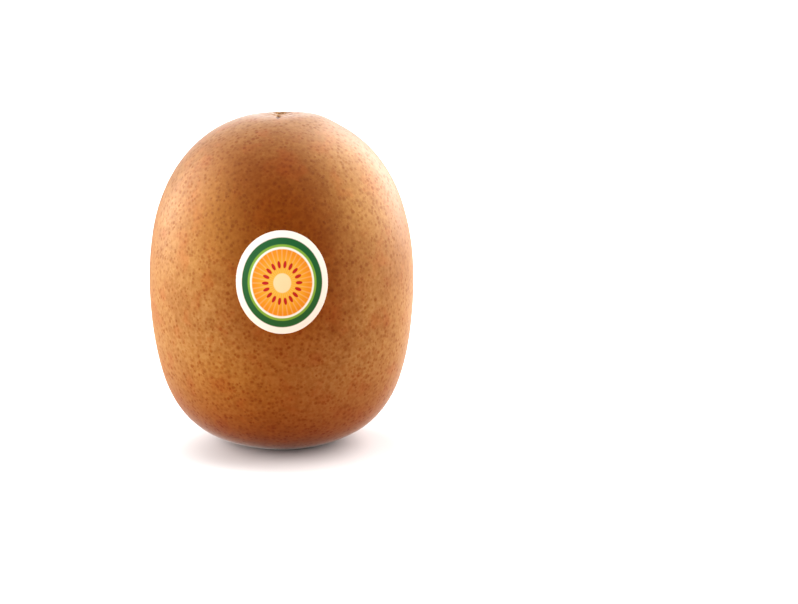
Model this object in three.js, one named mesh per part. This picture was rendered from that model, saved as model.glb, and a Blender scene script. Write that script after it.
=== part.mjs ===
// A whole golden kiwi fruit. It stands on its flattened blossom end, with the stem scar on top,
// and carries a small oval paper label on its front.
// Units are millimetres, +Z is up, and the origin is under the middle of the fruit, at the height
// of the surface that it stands on.
import * as THREE from "three";
import { mergeVertices } from "three/addons/utils/BufferGeometryUtils.js";

const { clamp, smoothstep } = THREE.MathUtils;

// Driving dimensions of the fruit
const WIDTH = 53.8; // left to right, at the waist
const DEPTH = 51.6; // front to back, at the waist
const HEIGHT = 68; // from the base to the crown
const BASE_TRIM = 1.1; // how much of the lower pole the flat spot takes off
const BASE_ROUNDING = 0.25; // height over which the flat spot turns into the flank

// Outline. A level runs from -1 at the lower pole to 1 at the upper one. The girth there is that
// of an ellipsoid, filled out by these shares of level^2, level^3 and level^4, which give the
// fruit its broad lower end and its rounder crown.
const FILL_SQUARE = 0.2;
const FILL_CUBE = -0.13;
const FILL_FOURTH = 0.08;

// Waves round the axis: how many there are, how high they are as a share, and where they start.
// The lobes are low ridges from end to end that keep the cross-section from being a true ellipse.
const LOBES = [
  { count: 3, share: 0.0045, phase: 0.6 },
  { count: 5, share: 0.003, phase: 2.1 },
];

// The crown slopes: its right side stands a little higher than its left
const CROWN_SLOPE = 0.05;
const CROWN_X = 3; // middle of the sloping part, measured from the axis
const CROWN_INNER = 4; // the slope is full inside this distance from that middle
const CROWN_OUTER = 10; // and gone outside this one

// Stem scar on the crown: a shallow collar, a corky broken rim, a pit and the stub in it
const SCAR_X = 0.3; // its middle, measured from the axis
const SCAR_RIM_RADIUS = 1.95;
const SCAR_RIM_WIDTH = 0.5;
const SCAR_RIM_HEIGHT = 0.13;
const SCAR_RIM_CORNERS = [{ count: 3, share: 0.06, phase: -0.57 }];
const SCAR_RIM_BREAKS = [
  { count: 4, share: 0.35, phase: -1.9 },
  { count: 7, share: 0.25, phase: 3.8 },
];
const SCAR_COLLAR_RADIUS = 4;
const SCAR_COLLAR_DEPTH = 0.4;
const SCAR_PIT_RADIUS = 1.6;
const SCAR_PIT_FLOOR_RADIUS = 0.8;
const SCAR_PIT_DEPTH = 0.6;
const SCAR_STUB_RADIUS = 0.55;
const SCAR_STUB_HEIGHT = 0.4;

// Blossom end underneath: a dimple in the flat spot, with the woody button of dried styles in it
const DIMPLE_RADIUS = 3.2;
const DIMPLE_FLOOR_RADIUS = 2.1;
const DIMPLE_DEPTH = 1.3;
const BUTTON_RADIUS = 1.9;
const BUTTON_TOP_RADIUS = 0.9;
const BUTTON_HEIGHT = 0.9;
const BUTTON_RAYS = [{ count: 7, share: 0.25, phase: 0 }];

// Paper label, wrapped round the front
const FRONT = -Math.PI / 2; // the turn that faces the viewer, along -Y
const LABEL_WIDTH = 18;
const LABEL_HEIGHT = 20;
const LABEL_THICKNESS = 0.3;
const LABEL_GAP = 0.3; // between the skin and the back of the label
const LABEL_OFFSET = 0.1; // its middle lies this far right of the front
const LABEL_CENTRE_HEIGHT = 38.3;

// How finely the surfaces are divided
const SEGMENTS = 72;
const RINGS = 56;
const RING_CROWDING = 0.8; // 0 spaces the rings evenly, and near 1 crowds them at both ends
const LABEL_SEGMENTS = 48;
const LABEL_RINGS = 6;
const NORMAL_STEP = 1e-3; // step in level and turn for a normal of the skin

const skinMaterial = new THREE.MeshStandardMaterial({
  color: 0xb0672c,
  roughness: 0.6,
  metalness: 0,
});
const paperMaterial = new THREE.MeshStandardMaterial({
  color: 0xf3efe6,
  roughness: 0.4,
  metalness: 0,
});

// Height of a smooth bump of about this width, at a distance from its middle
const bell = (distance, width) => Math.exp(-((distance / width) ** 2));

// Factor near 1 that rises and falls with the waves at a turn round the axis
function wavy(waves, turn) {
  return waves.reduce(
    (factor, wave) => factor + wave.share * Math.cos(wave.count * turn + wave.phase),
    1,
  );
}

// Height of the unflattened outline at a level
function heightAt(level) {
  return ((HEIGHT + BASE_TRIM) / 2) * (1 + level) - BASE_TRIM;
}

function levelAt(height) {
  return (2 * (height + BASE_TRIM)) / (HEIGHT + BASE_TRIM) - 1;
}

// Radius at a level, as a share of the waist's
function girthAt(level) {
  const fill =
    1 + FILL_SQUARE * level ** 2 + FILL_CUBE * level ** 3 + FILL_FOURTH * level ** 4;
  return Math.sqrt(Math.max(0, 1 - level ** 2)) * fill;
}

// Lifts what lies below the base to the base, with a soft edge
function flattened(height) {
  if (height <= -BASE_ROUNDING) return 0;
  if (height >= BASE_ROUNDING) return height;
  return (height + BASE_ROUNDING) ** 2 / (4 * BASE_ROUNDING);
}

// Height that the slope of the crown adds, at a place measured from the axis
function crownSlope(x, y) {
  const away = Math.hypot(x - CROWN_X, y);
  return CROWN_SLOPE * x * (1 - smoothstep(away, CROWN_INNER, CROWN_OUTER));
}

// Height that the stem scar adds to the crown
function stemScar(x, y) {
  const fromScar = Math.hypot(x - SCAR_X, y);
  const turn = Math.atan2(y, x - SCAR_X);
  const fromRim = fromScar - SCAR_RIM_RADIUS * wavy(SCAR_RIM_CORNERS, turn);
  const rim =
    SCAR_RIM_HEIGHT * wavy(SCAR_RIM_BREAKS, turn) * bell(fromRim, SCAR_RIM_WIDTH);
  const collar = SCAR_COLLAR_DEPTH * bell(fromScar, SCAR_COLLAR_RADIUS);
  const pit =
    SCAR_PIT_DEPTH * (1 - smoothstep(fromScar, SCAR_PIT_FLOOR_RADIUS, SCAR_PIT_RADIUS));
  const stub = SCAR_STUB_HEIGHT * bell(fromScar, SCAR_STUB_RADIUS);
  return rim - collar - pit + stub;
}

// Height of the underside above the base, inside the flat spot
function blossomEnd(x, y) {
  const fromAxis = Math.hypot(x, y);
  const buttonRadius = BUTTON_RADIUS * wavy(BUTTON_RAYS, Math.atan2(y, x));
  const dimple =
    DIMPLE_DEPTH * (1 - smoothstep(fromAxis, DIMPLE_FLOOR_RADIUS, DIMPLE_RADIUS));
  const button =
    BUTTON_HEIGHT * (1 - smoothstep(fromAxis, BUTTON_TOP_RADIUS, buttonRadius));
  return dimple - button;
}

// Point of the skin at a level and a turn
function skinPoint(level, turn) {
  const girth = girthAt(level) * wavy(LOBES, turn);
  const x = (WIDTH / 2) * girth * Math.cos(turn);
  const y = (DEPTH / 2) * girth * Math.sin(turn);
  const relief = level > 0 ? crownSlope(x, y) + stemScar(x, y) : blossomEnd(x, y);
  return new THREE.Vector3(x, y, flattened(heightAt(level)) + relief);
}

// Outward normal of the skin, from two short steps along it
function skinNormal(level, turn) {
  const up = skinPoint(level + NORMAL_STEP, turn);
  up.sub(skinPoint(level - NORMAL_STEP, turn));
  const round = skinPoint(level, turn + NORMAL_STEP);
  round.sub(skinPoint(level, turn - NORMAL_STEP));
  return round.cross(up).normalize();
}

// Drops what differs between copies of a vertex, so that the surface closes
function closed(geometry) {
  geometry.deleteAttribute("normal");
  geometry.deleteAttribute("uv");
  return mergeVertices(geometry);
}

function moveVertices(geometry, place) {
  const position = geometry.getAttribute("position");
  const vertex = new THREE.Vector3();
  for (let i = 0; i < position.count; i++) {
    vertex.fromBufferAttribute(position, i);
    const placed = place(vertex);
    position.setXYZ(i, placed.x, placed.y, placed.z);
  }
  geometry.computeVertexNormals();
  return geometry;
}

// The whole fruit is one body: a sphere whose rings crowd towards both ends, moved onto the skin
function makeFruit() {
  const sphere = closed(new THREE.SphereGeometry(1, SEGMENTS, RINGS));
  sphere.rotateX(Math.PI / 2);
  const geometry = moveVertices(sphere, (vertex) => {
    const even = Math.acos(clamp(vertex.z, -1, 1));
    const polar = even - (RING_CROWDING / 2) * Math.sin(2 * even);
    return skinPoint(Math.cos(polar), Math.atan2(vertex.y, vertex.x));
  });
  const fruit = new THREE.Mesh(geometry, skinMaterial);
  fruit.name = "fruit";
  return fruit;
}

// Section of a flat disc of radius 1 and thickness 1, from the axis out and back
function discProfile() {
  const steps = Array.from({ length: LABEL_RINGS + 1 }, (_, i) => i / LABEL_RINGS);
  const back = steps.map((radius) => new THREE.Vector2(radius, 0));
  const face = steps.map((radius) => new THREE.Vector2(radius, 1)).reverse();
  return [...back, ...face];
}

// The label is a disc laid on the skin: its x runs round the fruit, its y up and its z outwards
function makeLabel() {
  const disc = closed(new THREE.LatheGeometry(discProfile(), LABEL_SEGMENTS));
  disc.rotateX(Math.PI / 2);
  const geometry = moveVertices(disc, (vertex) => {
    const across = LABEL_OFFSET + (vertex.x * LABEL_WIDTH) / 2;
    const level = levelAt(LABEL_CENTRE_HEIGHT + (vertex.y * LABEL_HEIGHT) / 2);
    const turn = FRONT + across / ((WIDTH / 2) * girthAt(level));
    const lift = LABEL_GAP + vertex.z * LABEL_THICKNESS;
    return skinPoint(level, turn).addScaledVector(skinNormal(level, turn), lift);
  });
  const label = new THREE.Mesh(geometry, paperMaterial);
  label.name = "label";
  return label;
}

const kiwi = new THREE.Group();
kiwi.add(makeFruit(), makeLabel());

export default kiwi;
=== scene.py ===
# Looks of a whole golden kiwi fruit that stands on its blossom end, with an oval label on its
# front. Lengths are metres, +Z is up, and -Y is the front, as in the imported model.
import math

import bpy
import numpy as np
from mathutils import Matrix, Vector, noise


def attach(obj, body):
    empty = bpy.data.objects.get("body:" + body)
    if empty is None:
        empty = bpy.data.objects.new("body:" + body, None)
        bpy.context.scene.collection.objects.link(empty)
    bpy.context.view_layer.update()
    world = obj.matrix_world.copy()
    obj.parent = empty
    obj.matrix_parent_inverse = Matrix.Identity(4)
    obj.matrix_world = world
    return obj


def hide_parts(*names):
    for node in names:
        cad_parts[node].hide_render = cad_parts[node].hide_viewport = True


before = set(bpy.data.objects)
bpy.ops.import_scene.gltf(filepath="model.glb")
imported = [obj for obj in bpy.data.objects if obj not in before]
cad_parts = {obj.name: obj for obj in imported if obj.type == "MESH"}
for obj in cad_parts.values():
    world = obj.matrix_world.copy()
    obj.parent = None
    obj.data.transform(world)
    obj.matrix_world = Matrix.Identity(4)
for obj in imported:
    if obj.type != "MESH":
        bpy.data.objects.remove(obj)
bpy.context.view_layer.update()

MM = 0.001

# Driving dimensions of the fruit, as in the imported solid
WIDTH = 53.8 * MM
DEPTH = 51.6 * MM
HEIGHT = 68 * MM
BASE_TRIM = 1.1 * MM
BASE_ROUNDING = 0.25 * MM

# Shares of level^2, level^3 and level^4 that fill out the ellipsoid
FILL_SHARES = (0.2, -0.13, 0.08)

# Waves round the axis: count, share and phase
LOBES = ((3, 0.0045, 0.6), (5, 0.003, 2.1))

# The crown's slope, full inside the first radius round its middle and gone outside the second
CROWN_SLOPE = 0.05
CROWN_X = 3 * MM
CROWN_INNER = 4 * MM
CROWN_OUTER = 10 * MM

# Stem scar on the crown
SCAR_X = 0.3 * MM
SCAR_RIM_RADIUS = 1.95 * MM
SCAR_RIM_WIDTH = 0.5 * MM
SCAR_RIM_HEIGHT = 0.13 * MM
SCAR_RIM_CORNERS = ((3, 0.06, -0.57),)
SCAR_RIM_BREAKS = ((4, 0.35, -1.9), (7, 0.25, 3.8))
SCAR_COLLAR_RADIUS = 4 * MM
SCAR_COLLAR_DEPTH = 0.4 * MM
SCAR_PIT_RADIUS = 1.6 * MM
SCAR_PIT_FLOOR_RADIUS = 0.8 * MM
SCAR_PIT_DEPTH = 0.6 * MM
SCAR_STUB_RADIUS = 0.55 * MM
SCAR_STUB_HEIGHT = 0.4 * MM

# Small notch in the collar of the scar, dented and painted near-black as shade. The last two are
# shares of its half width and length, inside which it is full and outside which it is gone.
NOTCH_X = -0.35 * MM
NOTCH_Y = -3.7 * MM
NOTCH_HALF_WIDTH = 0.6 * MM
NOTCH_HALF_LENGTH = 1.5 * MM
NOTCH_DEPTH = 0.35 * MM
NOTCH_INNER = 0.5
NOTCH_OUTER = 1.2

# Blossom end underneath
DIMPLE_RADIUS = 3.2 * MM
DIMPLE_FLOOR_RADIUS = 2.1 * MM
DIMPLE_DEPTH = 1.3 * MM
BUTTON_RADIUS = 1.9 * MM
BUTTON_TOP_RADIUS = 0.9 * MM
BUTTON_HEIGHT = 0.9 * MM
BUTTON_RAYS = ((7, 0.25, 0.0),)

# Fine relief made of noise: its height, the size of its features and its seed
LUMPS = (0.07 * MM, 9 * MM, 3)
PEBBLES = (0.012 * MM, 2.4 * MM, 11)
CORK_GRAIN = (0.07 * MM, 0.5 * MM, 23)
STYLES = (0.15 * MM, 0.45 * MM, 29)

# Puckers in a ring round the scar. Their drift is in radians, with a size and a seed as above.
PUCKER_HEIGHT = 0.03 * MM
PUCKER_COUNT = 17
PUCKER_DRIFT = (3, 3 * MM, 5)
PUCKER_RADIUS = 3.4 * MM
PUCKER_WIDTH = 1.2 * MM

# How far relief and tone reach from the scar and the blossom end: full inside the first radius and
# gone outside the second
CORK_REACH = (2.2 * MM, 3 * MM)
STYLES_REACH = (1.8 * MM, 2.6 * MM)
SCAR_TONE_REACH = (1.5 * MM, 2.5 * MM)
BLOSSOM_TONE_REACH = (1.9 * MM, 3.4 * MM)
SCAR_TONE = 0.85

# The ring that the fruit stands on has no lumps: from this radius out, up to these heights
STAND_RADIUS = 3 * MM
STAND_HEIGHTS = (0.05 * MM, 0.6 * MM)

# Label
FRONT = -math.pi / 2
LABEL_WIDTH = 18 * MM
LABEL_HEIGHT = 20 * MM
LABEL_OFFSET = 0.1 * MM
LABEL_CENTRE_HEIGHT = 38.3 * MM
LABEL_LIFT = 0.05 * MM
LABEL_THICKNESS = 0.12 * MM

# The label's edge lifts off the skin in a few waves, from this share of its radius out
CURL_HEIGHT = 0.05 * MM
CURL_START = 0.8
CURL_COUNT = 5
CURL_PHASE = 1

# How finely the surfaces are divided
SKIN_SEGMENTS = 420
SKIN_RINGS = 230
SKIN_CROWDING = 0.5
LABEL_SEGMENTS = 144
LABEL_RINGS = 36
LABEL_SHARP_ANGLE = math.radians(40)
NORMAL_STEP = 1e-3

# Camera, fitted to the outline of the fruit in the photograph
CAMERA_ELEVATION = math.radians(12)
CAMERA_DISTANCE = 0.45
CAMERA_AIM_HEIGHT = 34 * MM
CAMERA_PAN = math.radians(3.125)
CAMERA_TILT = math.radians(-0.664)
CAMERA_LENS = 99.15
SENSOR_WIDTH = 36


# Shape of the fruit


def smoothstep(value, low, high):
    share = np.clip((value - low) / (high - low), 0, 1)
    return share * share * (3 - 2 * share)


def fading(value, inner, outer):
    """1 up to the inner value, from where it falls smoothly to 0 at the outer one."""
    return 1 - smoothstep(value, inner, outer)


def bell(distance, width):
    """Height of a smooth bump of about this width, at a distance from its middle."""
    return np.exp(-((distance / width) ** 2))


def wavy(waves, turn):
    """Factor near 1 that rises and falls with the waves at a turn round the axis."""
    return 1 + sum(share * np.cos(count * turn + phase) for count, share, phase in waves)


def height_at(level):
    """Height of the unflattened outline at a level, from -1 at its foot to 1 at its top."""
    return (HEIGHT + BASE_TRIM) / 2 * (1 + level) - BASE_TRIM


def level_at(height):
    return 2 * (height + BASE_TRIM) / (HEIGHT + BASE_TRIM) - 1


def girth_at(level):
    """Radius at a level, as a share of the waist's."""
    fill = 1 + sum(share * level**power for power, share in enumerate(FILL_SHARES, 2))
    return np.sqrt(np.maximum(0, 1 - level**2)) * fill


def flattened(height):
    """Lifts what lies below the base to the base, with a soft edge."""
    edge = (height + BASE_ROUNDING) ** 2 / (4 * BASE_ROUNDING)
    above = np.where(height >= BASE_ROUNDING, height, edge)
    return np.where(height <= -BASE_ROUNDING, 0, above)


def crown_slope(x, y):
    away = np.hypot(x - CROWN_X, y)
    return CROWN_SLOPE * x * fading(away, CROWN_INNER, CROWN_OUTER)


def stem_scar(x, y):
    """Height that the stem scar adds to the crown."""
    from_scar = np.hypot(x - SCAR_X, y)
    turn = np.arctan2(y, x - SCAR_X)
    from_rim = from_scar - SCAR_RIM_RADIUS * wavy(SCAR_RIM_CORNERS, turn)
    rim = SCAR_RIM_HEIGHT * wavy(SCAR_RIM_BREAKS, turn) * bell(from_rim, SCAR_RIM_WIDTH)
    collar = SCAR_COLLAR_DEPTH * bell(from_scar, SCAR_COLLAR_RADIUS)
    pit = SCAR_PIT_DEPTH * fading(from_scar, SCAR_PIT_FLOOR_RADIUS, SCAR_PIT_RADIUS)
    stub = SCAR_STUB_HEIGHT * bell(from_scar, SCAR_STUB_RADIUS)
    return rim - collar - pit + stub


def blossom_end(x, y):
    """Height of the underside above the base, inside the flat spot."""
    from_axis = np.hypot(x, y)
    button_radius = BUTTON_RADIUS * wavy(BUTTON_RAYS, np.arctan2(y, x))
    dimple = DIMPLE_DEPTH * fading(from_axis, DIMPLE_FLOOR_RADIUS, DIMPLE_RADIUS)
    button = BUTTON_HEIGHT * fading(from_axis, BUTTON_TOP_RADIUS, button_radius)
    return dimple - button


def skin_points(level, turn):
    """Points of the skin at levels and turns, which are arrays of one shape."""
    girth = girth_at(level) * wavy(LOBES, turn)
    x = WIDTH / 2 * girth * np.cos(turn)
    y = DEPTH / 2 * girth * np.sin(turn)
    crown = crown_slope(x, y) + stem_scar(x, y)
    raised = np.where(level > 0, crown, blossom_end(x, y))
    return np.stack([x, y, flattened(height_at(level)) + raised], axis=-1)


def skin_normals(level, turn):
    """Outward normals of the skin, from two short steps along it."""
    up = skin_points(level + NORMAL_STEP, turn) - skin_points(level - NORMAL_STEP, turn)
    onward = skin_points(level, turn + NORMAL_STEP) - skin_points(level, turn - NORMAL_STEP)
    normals = np.cross(onward, up)
    return normals / np.linalg.norm(normals, axis=-1, keepdims=True)


# Fine relief


def relief(points, kind):
    """Smooth noise at each point, for a height, a size of its features and a seed."""
    height, size, seed = kind
    shift = Vector((seed, 1.7 * seed, 0.3 * seed))
    return height * np.array([noise.noise(Vector(point) / size + shift) for point in points])


def vertex_array(mesh, name):
    values = np.zeros(len(mesh.vertices) * 3, np.float32)
    mesh.vertices.foreach_get(name, values)
    return values.reshape(-1, 3).astype(float)


def set_attribute(mesh, name, values):
    attribute = mesh.attributes.new(name, "FLOAT", "POINT")
    attribute.data.foreach_set("value", values.astype(np.float32))


def scar_distance(points):
    """Distance from the middle of the stem scar, seen from above, and far for the lower half."""
    across = np.hypot(points[:, 0] - SCAR_X, points[:, 1])
    return np.where(points[:, 2] > HEIGHT / 2, across, WIDTH)


def blossom_distance(points):
    """Distance from the axis, and far for the upper half."""
    across = np.hypot(points[:, 0], points[:, 1])
    return np.where(points[:, 2] < HEIGHT / 2, across, WIDTH)


def scar_notch(points):
    """Share from 0 to 1 of the small notch in front of the stem scar, dented and painted dark as
    shade.
    """
    across = (points[:, 0] - NOTCH_X) / NOTCH_HALF_WIDTH
    along = (points[:, 1] - NOTCH_Y) / NOTCH_HALF_LENGTH
    share = fading(np.hypot(across, along), NOTCH_INNER, NOTCH_OUTER)
    return share * (points[:, 2] > HEIGHT / 2)


def relief_height(points, from_scar, from_blossom, notch):
    """How far each point moves out, or in where it is below zero."""
    turn = np.arctan2(points[:, 1], points[:, 0] - SCAR_X)
    lumps = relief(points, LUMPS)
    pebbles = relief(points, PEBBLES)
    puckers = PUCKER_HEIGHT * np.cos(PUCKER_COUNT * turn + relief(points, PUCKER_DRIFT))
    puckers *= bell(from_scar - PUCKER_RADIUS, PUCKER_WIDTH)
    cork = relief(points, CORK_GRAIN) * fading(from_scar, *CORK_REACH)
    styles = relief(points, STYLES) * fading(from_blossom, *STYLES_REACH)
    standing = fading(points[:, 2], *STAND_HEIGHTS) * (from_blossom > STAND_RADIUS)
    return (lumps + pebbles) * (1 - standing) + puckers + cork + styles - NOTCH_DEPTH * notch


def rough_skin(mesh):
    """Moves the skin by its fine relief, and marks the places that differ in tone."""
    points = vertex_array(mesh, "co")
    normals = vertex_array(mesh, "normal")
    from_scar = scar_distance(points)
    from_blossom = blossom_distance(points)
    notch = scar_notch(points)
    height = relief_height(points, from_scar, from_blossom, notch)
    moved = points + normals * height[:, None]
    moved[:, 2] = np.maximum(moved[:, 2], 0)
    mesh.vertices.foreach_set("co", moved.astype(np.float32).ravel())
    set_attribute(mesh, "scar", SCAR_TONE * fading(from_scar, *SCAR_TONE_REACH))
    set_attribute(mesh, "notch", notch)
    set_attribute(mesh, "blossom", fading(from_blossom, *BLOSSOM_TONE_REACH))
    mesh.update()


# Meshes


def ring_mesh(name, rings, first_pole, last_pole):
    """Closed mesh from rings of points, an array (rings, segments, 3), and the two poles."""
    count, segments = rings.shape[:2]
    vertices = [tuple(first_pole), *map(tuple, rings.reshape(-1, 3)), tuple(last_pole)]
    last = len(vertices) - 1

    def at(ring, segment):
        return 1 + ring * segments + segment % segments

    faces = []
    for segment in range(segments):
        faces.append((0, at(0, segment), at(0, segment + 1)))
        faces.append((last, at(count - 1, segment + 1), at(count - 1, segment)))
        for ring in range(count - 1):
            quad = (at(ring, segment), at(ring + 1, segment))
            faces.append((*quad, at(ring + 1, segment + 1), at(ring, segment + 1)))
    mesh = bpy.data.meshes.new(name)
    mesh.from_pydata(vertices, [], faces)
    mesh.shade_smooth()
    mesh.update()
    return mesh


def add_piece(name, mesh, material, node):
    """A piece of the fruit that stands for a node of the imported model."""
    mesh.materials.append(material)
    piece = bpy.data.objects.new(name, mesh)
    bpy.context.scene.collection.objects.link(piece)
    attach(piece, "root")
    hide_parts(node)


def make_skin_mesh():
    """Rings from the crown down, crowded towards both ends."""
    even = np.arange(1, SKIN_RINGS) * math.pi / SKIN_RINGS
    level = np.cos(even - SKIN_CROWDING / 2 * np.sin(2 * even))
    turn = np.arange(SKIN_SEGMENTS) * 2 * math.pi / SKIN_SEGMENTS
    rings = skin_points(*np.meshgrid(level, turn, indexing="ij"))
    crown, base = skin_points(np.array([1.0, -1.0]), np.zeros(2))
    mesh = ring_mesh("fruit_skin", rings, crown, base)
    rough_skin(mesh)
    return mesh


def label_points(across, up, lift):
    """Points of the label, from -1 to 1 across and up, at a height above the skin."""
    level = level_at(LABEL_CENTRE_HEIGHT + up * LABEL_HEIGHT / 2)
    along = LABEL_OFFSET + across * LABEL_WIDTH / 2
    turn = FRONT + along / (WIDTH / 2 * girth_at(level))
    return skin_points(level, turn) + skin_normals(level, turn) * lift[..., None]


def add_print_map(mesh, across, up):
    """Map of the print: each point's place on the label, from 0 to 1 across and up."""
    flat = [(0, 0), *zip(across.ravel(), up.ravel()), (0, 0)]
    layer = mesh.uv_layers.new(name="print")
    for loop in mesh.loops:
        x, y = flat[loop.vertex_index]
        layer.data[loop.index].uv = (0.5 + x / 2, 0.5 + y / 2)


def make_label_mesh():
    """A thin disc laid on the skin: from the middle of its face to its rim, and back behind."""
    face_lift = LABEL_LIFT + LABEL_THICKNESS
    face_radii = np.arange(1, LABEL_RINGS + 1) / LABEL_RINGS
    radii = np.concatenate([face_radii, face_radii[::-1]])
    lifts = np.where(np.arange(len(radii)) < LABEL_RINGS, face_lift, LABEL_LIFT)
    turn = np.arange(LABEL_SEGMENTS) * 2 * math.pi / LABEL_SEGMENTS
    radius, angle = np.meshgrid(radii, turn, indexing="ij")
    across, up = radius * np.cos(angle), radius * np.sin(angle)
    curl = CURL_HEIGHT * smoothstep(radius, CURL_START, 1)
    curl *= (1 + np.cos(CURL_COUNT * angle + CURL_PHASE)) / 2
    rings = label_points(across, up, lifts[:, None] + curl)
    centre = np.zeros(2)
    face, back = label_points(centre, centre, np.array([face_lift, LABEL_LIFT]))
    mesh = ring_mesh("label_paper", rings, face, back)
    add_print_map(mesh, across, up)
    mesh.set_sharp_from_angle(angle=LABEL_SHARP_ANGLE)
    return mesh


# Node trees

# The Mix node's colour sockets, which share their names with its number sockets
MIX_FIRST = 6
MIX_SECOND = 7
MIX_RESULT = 2

# Scattered dots: how faint the faintest is, and the shares of a dot's radius inside which it is
# full and outside which it is gone
DOT_FAINTEST = 0.45
DOT_INNER = 0.4
DOT_OUTER = 1.2


class Shader:
    """A material's node tree, with a short call for each kind of node that the looks need."""

    def __init__(self, name):
        self.material = bpy.data.materials.new(name)
        self.material.use_nodes = True
        self.tree = self.material.node_tree
        self.surface = self.tree.nodes["Principled BSDF"]

    def node(self, kind, inputs=None, **settings):
        made = self.tree.nodes.new(kind)
        for name, value in settings.items():
            setattr(made, name, value)
        for name, value in (inputs or {}).items():
            self.put(made.inputs[name], value)
        return made

    def put(self, socket, value):
        """Links an output to a socket, or sets the socket's own value."""
        if isinstance(value, bpy.types.NodeSocket):
            self.tree.links.new(value, socket)
        elif hasattr(value, "__len__") and len(value) == 3 and socket.type == "RGBA":
            socket.default_value = (*value, 1)
        else:
            socket.default_value = value

    def set(self, **values):
        """Puts values in the surface's sockets, whose names have spaces for underscores."""
        for name, value in values.items():
            self.put(self.surface.inputs[name.replace("_", " ")], value)

    def place(self):
        return self.node("ShaderNodeTexCoord").outputs["Object"]

    def attribute(self, name):
        return self.node("ShaderNodeAttribute", attribute_name=name).outputs["Fac"]

    def math(self, operation, *values):
        made = self.node("ShaderNodeMath", operation=operation)
        for socket, value in zip(made.inputs, values):
            self.put(socket, value)
        return made.outputs[0]

    def vector_math(self, operation, *values):
        made = self.node("ShaderNodeVectorMath", operation=operation)
        for socket, value in zip(made.inputs, values):
            self.put(socket, value)
        return made

    def length(self, vector):
        return self.vector_math("LENGTH", vector).outputs["Value"]

    def distance(self, place, centre, size):
        """Distance from a centre, as a share of a size along each axis."""
        moved = self.vector_math("SUBTRACT", place, centre).outputs[0]
        return self.length(self.vector_math("DIVIDE", moved, size).outputs[0])

    def ramp(self, value, low, high, start=0.0, end=1.0):
        """Goes smoothly from start to end as the value goes from low to high."""
        inputs = {"Value": value, "From Min": low, "From Max": high, "To Min": start, "To Max": end}
        made = self.node("ShaderNodeMapRange", inputs, interpolation_type="SMOOTHSTEP")
        return made.outputs["Result"]

    def mix(self, share, first, second, blend="MIX"):
        made = self.node("ShaderNodeMix", data_type="RGBA", blend_type=blend)
        self.put(made.inputs["Factor"], share)
        self.put(made.inputs[MIX_FIRST], first)
        self.put(made.inputs[MIX_SECOND], second)
        return made.outputs[MIX_RESULT]

    def noise(self, place, size, detail=2.0, roughness=0.5):
        inputs = {"Vector": place, "Scale": 1 / size, "Detail": detail, "Roughness": roughness}
        return self.node("ShaderNodeTexNoise", inputs).outputs["Fac"]

    def warped(self, place, size, amount):
        """The place, pushed about by noise with features of this size."""
        drift = self.node("ShaderNodeTexNoise", {"Vector": place, "Scale": 1 / size})
        push = (2 * amount,) * 3
        return self.vector_math("MULTIPLY_ADD", drift.outputs["Color"], push, place).outputs[0]

    def dots(self, place, cell, smallest, largest):
        """Scattered dots, 1 inside and 0 outside, with radii between two shares of the cell."""
        points = self.node("ShaderNodeTexVoronoi", {"Vector": place, "Scale": 1 / cell})
        draws = self.node("ShaderNodeSeparateColor", {"Color": points.outputs["Color"]})
        radius = self.ramp(draws.outputs["Red"], 0, 1, smallest, largest)
        reach = self.math("DIVIDE", points.outputs["Distance"], radius)
        strength = self.ramp(draws.outputs["Green"], 0, 1, DOT_FAINTEST, 1)
        return self.math("MULTIPLY", self.ramp(reach, DOT_INNER, DOT_OUTER, 1, 0), strength)

    def bump(self, height, distance, strength=1.0, normal=None):
        inputs = {"Height": height, "Distance": distance, "Strength": strength}
        if normal is not None:
            inputs["Normal"] = normal
        return self.node("ShaderNodeBump", inputs).outputs["Normal"]


# Skin material

SKIN_BROWN = (0.182, 0.074, 0.020)
SKIN_GOLD = (0.272, 0.150, 0.053)
SKIN_RED = (0.228, 0.058, 0.013)
CORK = (0.22, 0.105, 0.042)
CORK_DARK = (0.075, 0.030, 0.012)
# Near-black painted shade in the notch's dent
NOTCH_SHADE = (0.06, 0.015, 0.007)

# Tints that the skin's colour is multiplied by
FRECKLE = (0.68, 0.40, 0.19)
SHADE = (0.84, 0.73, 0.58)
# Painted shade near the floor, darker and browner towards the base
PAINTED_BASE_SHADE = (0.76, 0.44, 0.30)

# How golden the skin is: shares of a broad pattern, of a mottle and of the way down, and the range
# of their sum over which brown turns to gold. The share of the way down is painted bounce light.
BROAD_SIZE = 15 * MM
BROAD_SHARE = 0.45
MOTTLE_SIZE = 1.9 * MM
MOTTLE_SHARE = 0.35
PAINTED_LIGHT_LOWER_HEIGHTS = (56 * MM, 14 * MM)
PAINTED_LIGHT_LOWER_SHARE = 0.2
GOLD_RANGE = (0.34, 0.66)

# Red blush, in streaks that are pushed about
BLUSH_SIZE = 4.5 * MM
BLUSH_PUSH_SIZE = 4 * MM
BLUSH_PUSH = 1.5 * MM
BLUSH_RANGE = (0.5, 0.72)
BLUSH_SHARE = 0.45

# Painted shade: darker patches on the front, the upper left shoulder and the lower left flank, each
# with its middle, the reach along each axis, and the tint there
PAINTED_SHADE_FRONT = ((1 * MM, -22 * MM, 44 * MM), (15 * MM, 20 * MM, 28 * MM), (0.70, 0.35, 0.12))
PAINTED_SHADE_SHOULDER = ((-12 * MM, -17 * MM, 55 * MM), (11 * MM, 14 * MM, 12 * MM), (0.85, 0.64, 0.50))
PAINTED_SHADE_FLANK = ((-9 * MM, -21 * MM, 14 * MM), (14 * MM, 14 * MM, 14 * MM), (1.0, 0.88, 0.60))
SHADE_PATCH_INNER = 0.3
SHADE_PATCH_OUTER = 1.3

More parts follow.
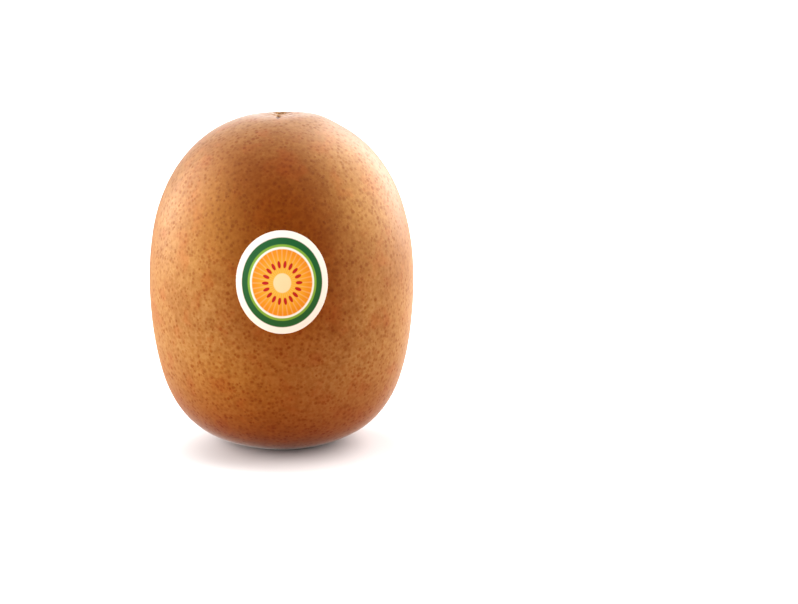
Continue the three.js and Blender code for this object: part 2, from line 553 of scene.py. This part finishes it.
# Painted shade near the floor: the base darker and browner, from none at the first height to full
# at the second; and the grain all over
BASE_SHADE_HEIGHTS = (24 * MM, 2 * MM)
GRAIN_SIZE = 0.75 * MM
GRAIN_RANGE = (0.35, 0.65)

# Freckles: the cell of their scatter, and the smallest and largest radius as shares of the cell
FINE_FRECKLES = (0.84 * MM, 0.34, 0.6)
LARGE_FRECKLES = (2.6 * MM, 0.08, 0.17)
FRECKLE_PUSH_SIZE = 0.45 * MM
FRECKLE_PUSH = 0.13 * MM

# The fine freckles thin out in places, to this strength at the least
CROWD_SIZE = 4 * MM
CROWD_RANGE = (0.3, 0.6)
CROWD_LEAST = 0.7

# Cork of the scar and of the blossom end
GRIT_SIZE = 0.35 * MM
GRIT_RANGE = (0.4, 0.6)

# Gloss, sheen and bumps of the skin
SKIN_ROUGHNESS = 0.46
FRECKLE_ROUGHNESS = 0.58
LEATHER_SIZE = 0.3 * MM
LEATHER_DEPTH = 0.03 * MM
LEATHER_STRENGTH = 0.4
FRECKLE_DEPTH = 0.05 * MM
FRECKLE_STRENGTH = 0.25


def skin_ground(shader, place):
    """The skin between its freckles: gold and red-brown patches with a fine grain, painted more
    golden lower down as bounce light, and painted shade on the front, the shoulder, the flank and
    the base."""
    height = shader.node("ShaderNodeSeparateXYZ", {"Vector": place}).outputs["Z"]
    broad = shader.noise(place, BROAD_SIZE)
    mottle = shader.noise(place, MOTTLE_SIZE, detail=3.0, roughness=0.55)
    mottled = shader.math("MULTIPLY", mottle, MOTTLE_SHARE)
    gold = shader.math("MULTIPLY_ADD", broad, BROAD_SHARE, mottled)
    # Painted bounce light: lighter and more golden lower down
    gold = shader.math("MULTIPLY_ADD", shader.ramp(height, *PAINTED_LIGHT_LOWER_HEIGHTS), PAINTED_LIGHT_LOWER_SHARE, gold)
    colour = shader.mix(shader.ramp(gold, *GOLD_RANGE), SKIN_BROWN, SKIN_GOLD)

    pushed = shader.warped(place, BLUSH_PUSH_SIZE, BLUSH_PUSH)
    blush = shader.noise(pushed, BLUSH_SIZE, detail=3.0)
    colour = shader.mix(shader.ramp(blush, *BLUSH_RANGE, 0.0, BLUSH_SHARE), colour, SKIN_RED)

    # Painted shade: darker patches on the front, the shoulder and the flank
    for middle, reach, tint in (PAINTED_SHADE_FRONT, PAINTED_SHADE_SHOULDER, PAINTED_SHADE_FLANK):
        away = shader.distance(place, middle, reach)
        share = shader.ramp(away, SHADE_PATCH_INNER, SHADE_PATCH_OUTER, 1.0, 0.0)
        colour = shader.mix(share, colour, tint, "MULTIPLY")
    # Painted shade near the floor: darker towards the base
    colour = shader.mix(shader.ramp(height, *BASE_SHADE_HEIGHTS), colour, PAINTED_BASE_SHADE, "MULTIPLY")
    grain = shader.noise(place, GRAIN_SIZE)
    return shader.mix(shader.ramp(grain, *GRAIN_RANGE), colour, SHADE, "MULTIPLY")


def skin_freckles(shader, place):
    """Fine red-brown dots all over, thinned out in places, and a few larger ones."""
    ragged = shader.warped(place, FRECKLE_PUSH_SIZE, FRECKLE_PUSH)
    fine = shader.dots(ragged, *FINE_FRECKLES)
    large = shader.dots(ragged, *LARGE_FRECKLES)
    crowd = shader.ramp(shader.noise(place, CROWD_SIZE), *CROWD_RANGE, CROWD_LEAST, 1.0)
    return shader.math("MAXIMUM", shader.math("MULTIPLY", fine, crowd), large)


def corky(shader, place, colour):
    """The colour, with cork over the scar and the blossom end, and painted shade in the notch."""
    grit = shader.noise(place, GRIT_SIZE, detail=3.0)
    cork = shader.mix(shader.ramp(grit, *GRIT_RANGE), CORK_DARK, CORK)
    scarred = shader.math("MAXIMUM", shader.attribute("scar"), shader.attribute("blossom"))
    colour = shader.mix(scarred, colour, cork)
    # Painted shade: the notch near-black
    return shader.mix(shader.attribute("notch"), colour, NOTCH_SHADE)


def make_skin_material():
    shader = Shader("kiwi_skin")
    place = shader.place()
    freckles = skin_freckles(shader, place)
    colour = shader.mix(freckles, skin_ground(shader, place), FRECKLE, "MULTIPLY")
    roughness = shader.ramp(freckles, 0.0, 1.0, SKIN_ROUGHNESS, FRECKLE_ROUGHNESS)
    shader.set(Base_Color=corky(shader, place, colour), Roughness=roughness)
    shader.set(Specular_IOR_Level=0.5, Specular_Tint=(1.0, 0.5, 0.05))
    shader.set(Sheen_Weight=0.28, Sheen_Roughness=0.32, Sheen_Tint=(0.88, 0.97, 1.0))
    leather = shader.noise(place, LEATHER_SIZE)
    normal = shader.bump(leather, LEATHER_DEPTH, LEATHER_STRENGTH)
    shader.set(Normal=shader.bump(freckles, FRECKLE_DEPTH, FRECKLE_STRENGTH, normal))
    return shader.material


# Label material

PAPER = (0.74, 0.76, 0.74)
GREEN = (0.003, 0.085, 0.020)
LEAF = (0.16, 0.34, 0.035)
ORANGE = (0.60, 0.21, 0.003)
YELLOW = (0.66, 0.37, 0.03)
CREAM = (0.68, 0.60, 0.36)
SEED = (0.36, 0.005, 0.008)

# Outer radii of the printed rings, as shares of the label's, and the softness of their edges
GREEN_RADIUS = 0.87
LEAF_RADIUS = 0.74
GAP_RADIUS = 0.69
DISC_RADIUS = 0.65
CORE_RADIUS = 0.19
PRINT_EDGE = 0.012

# The disc turns from yellow to orange over these radii, and has cream rays
DISC_TONES = (0.25, 0.66)
RAY_RANGE = (0.3, 1.0)
RAY_SHARE = 0.22

# Seeds in a ring, with one ray behind each and one between each two
SEED_COUNT = 18
SEED_RADIUS = 0.36
SEED_HALF_WIDTH = 0.034
SEED_HALF_LENGTH = 0.075
SEED_EDGE = (0.7, 1.2)

# Bumps of the paper
FIBRE_SIZE = 0.5 * MM
FIBRE_DEPTH = 0.01 * MM
FIBRE_STRENGTH = 0.4


def print_place(shader):
    """Place on the print, from -1 to 1: the distance from its middle and the turn round it."""
    uv = shader.node("ShaderNodeUVMap", uv_map="print").outputs["UV"]
    centred = shader.vector_math("MULTIPLY_ADD", uv, (2, 2, 0), (-1, -1, 0)).outputs[0]
    parts = shader.node("ShaderNodeSeparateXYZ", {"Vector": centred})
    turn = shader.math("ARCTAN2", parts.outputs["Y"], parts.outputs["X"])
    return shader.length(centred), turn


def golden_disc(shader, radius, turn):
    rays = shader.math("COSINE", shader.math("MULTIPLY", turn, float(SEED_COUNT * 2)))
    golden = shader.mix(shader.ramp(radius, *DISC_TONES), YELLOW, ORANGE)
    return shader.mix(shader.ramp(rays, *RAY_RANGE, 0.0, RAY_SHARE), golden, CREAM)


def printed_seeds(shader, radius, turn):
    """1 on the seeds and 0 between them: one ellipse, repeated round the middle."""
    step = math.tau / SEED_COUNT
    folded = shader.math("WRAP", turn, -step / 2, step / 2)
    sideways = shader.math("DIVIDE", shader.math("MULTIPLY", folded, radius), SEED_HALF_WIDTH)
    from_ring = shader.math("SUBTRACT", radius, SEED_RADIUS)
    outwards = shader.math("DIVIDE", from_ring, SEED_HALF_LENGTH)
    across = shader.math("POWER", sideways, 2.0)
    along = shader.math("POWER", outwards, 2.0)
    return shader.ramp(shader.math("ADD", across, along), *SEED_EDGE, 1.0, 0.0)


def make_label_material():
    """White paper with a plain printed slice: a green ring, a golden disc, seeds and a core."""
    shader = Shader("label_print")
    radius, turn = print_place(shader)

    def inside(edge):
        return shader.ramp(radius, edge - PRINT_EDGE, edge + PRINT_EDGE, 1.0, 0.0)

    colour = shader.mix(inside(GREEN_RADIUS), PAPER, GREEN)
    colour = shader.mix(inside(LEAF_RADIUS), colour, LEAF)
    colour = shader.mix(inside(GAP_RADIUS), colour, PAPER)
    colour = shader.mix(inside(DISC_RADIUS), colour, golden_disc(shader, radius, turn))
    colour = shader.mix(inside(CORE_RADIUS), colour, CREAM)
    colour = shader.mix(printed_seeds(shader, radius, turn), colour, SEED)
    shader.set(Base_Color=colour, Roughness=0.42, Specular_IOR_Level=0.25)
    fibres = shader.noise(shader.place(), FIBRE_SIZE)
    shader.set(Normal=shader.bump(fibres, FIBRE_DEPTH, FIBRE_STRENGTH))
    return shader.material


# Floor

FLOOR_HALF = 3.0
FLOOR_ROUGHNESS = 0.8

# Colours that the camera sees near the fruit, greyer as painted shadow, and away from it, and the
# one that lights the fruit
FLOOR_PAINTED_SHADOW = (0.49, 0.45, 0.44)
FLOOR_FAR = (0.85, 0.85, 0.85)
FLOOR_BOUNCE = (0.40, 0.18, 0.06)

# Middle of the painted shadow near the fruit, and the distances from it over which the far colour
# takes over
FLOOR_SHADE_PLACE = (6 * MM, -8 * MM, 0)
FLOOR_SHADE_RANGE = (15, 33)
FLOOR_SHADE_UNIT = (MM, MM, MM)


def make_floor_material():
    """White to the camera, with painted shadow that makes it greyer near the fruit, and a warm, dim
    bounce.
    """
    shader = Shader("floor_white")
    seen = shader.node("ShaderNodeLightPath").outputs["Is Camera Ray"]
    away = shader.distance(shader.place(), FLOOR_SHADE_PLACE, FLOOR_SHADE_UNIT)
    # Painted shadow: the floor greyer near the fruit
    white_and_painted_shadow = shader.mix(shader.ramp(away, *FLOOR_SHADE_RANGE), FLOOR_PAINTED_SHADOW, FLOOR_FAR)
    shader.set(Base_Color=shader.mix(seen, FLOOR_BOUNCE, white_and_painted_shadow), Roughness=FLOOR_ROUGHNESS)
    shader.set(Specular_IOR_Level=0.1)
    return shader.material


def make_floor():
    mesh = bpy.data.meshes.new("floor")
    half = FLOOR_HALF
    corners = [(-half, -half, 0), (half, -half, 0), (half, half, 0), (-half, half, 0)]
    mesh.from_pydata(corners, [], [(0, 1, 2, 3)])
    mesh.materials.append(make_floor_material())
    floor = bpy.data.objects.new("floor", mesh)
    bpy.context.scene.collection.objects.link(floor)


# Surroundings

# Each softbox: azimuth from the front towards +X, elevation, half width and softness of its edge,
# all in degrees, and how bright it is
SOFTBOXES = {
    "left": (-90, 4, 28, 26, 10.6),
    "right": (112, 21, 28, 26, 9.6),
    "top_back": (178, 52, 26, 28, 1.3),
    "front_low": (-25, 2, 22, 28, 1.1),
}
AMBIENT = 0.08


def softbox(tree, direction, azimuth, elevation, half, soft, bright):
    """Brightness of one softbox in a direction."""
    a, e = math.radians(azimuth), math.radians(elevation)
    towards = (math.sin(a) * math.cos(e), -math.cos(a) * math.cos(e), math.sin(e))
    dot = tree.nodes.new("ShaderNodeVectorMath")
    dot.operation = "DOT_PRODUCT"
    tree.links.new(direction, dot.inputs[0])
    dot.inputs[1].default_value = towards
    box = tree.nodes.new("ShaderNodeMapRange")
    box.interpolation_type = "SMOOTHSTEP"
    tree.links.new(dot.outputs["Value"], box.inputs["Value"])
    box.inputs["From Min"].default_value = math.cos(math.radians(half + soft))
    box.inputs["From Max"].default_value = math.cos(math.radians(half))
    box.inputs["To Max"].default_value = bright
    return box.outputs["Result"]


def all_softboxes(tree):
    """Brightness of the surroundings: the ambient light and every softbox."""
    direction = tree.nodes.new("ShaderNodeTexCoord").outputs["Generated"]
    total = None
    for settings in SOFTBOXES.values():
        add = tree.nodes.new("ShaderNodeMath")
        add.operation = "ADD"
        tree.links.new(softbox(tree, direction, *settings), add.inputs[0])
        if total is None:
            add.inputs[1].default_value = AMBIENT
        else:
            tree.links.new(total, add.inputs[1])
        total = add.outputs[0]
    return total


def white_background(tree):
    made = tree.nodes.new("ShaderNodeBackground")
    made.inputs["Color"].default_value = (1, 1, 1, 1)
    return made


def make_world():
    """Softboxes that light the fruit, behind a plain white that the camera sees."""
    world = bpy.data.worlds.new("studio")
    world.use_nodes = True
    tree = world.node_tree
    tree.nodes.clear()
    lit = white_background(tree)
    tree.links.new(all_softboxes(tree), lit.inputs["Strength"])
    seen = white_background(tree)
    path = tree.nodes.new("ShaderNodeLightPath")
    choose = tree.nodes.new("ShaderNodeMixShader")
    out = tree.nodes.new("ShaderNodeOutputWorld")
    tree.links.new(path.outputs["Is Camera Ray"], choose.inputs[0])
    tree.links.new(lit.outputs[0], choose.inputs[1])
    tree.links.new(seen.outputs[0], choose.inputs[2])
    tree.links.new(choose.outputs[0], out.inputs["Surface"])
    bpy.context.scene.world = world


# Camera


def make_camera():
    data = bpy.data.cameras.new("camera")
    data.lens = CAMERA_LENS
    data.sensor_width = SENSOR_WIDTH
    camera = bpy.data.objects.new("camera", data)
    bpy.context.scene.collection.objects.link(camera)
    back = Vector((0, -math.cos(CAMERA_ELEVATION), math.sin(CAMERA_ELEVATION)))
    camera.location = back * CAMERA_DISTANCE + Vector((0, 0, CAMERA_AIM_HEIGHT))
    pitch = CAMERA_TILT - CAMERA_ELEVATION
    camera.rotation_euler = (math.pi / 2 + pitch, 0, -CAMERA_PAN)
    bpy.context.scene.camera = camera


add_piece("fruit_skin", make_skin_mesh(), make_skin_material(), "fruit")
add_piece("label_sheet", make_label_mesh(), make_label_material(), "label")
make_floor()
make_world()
make_camera()
bpy.context.scene.view_settings.view_transform = "Standard"
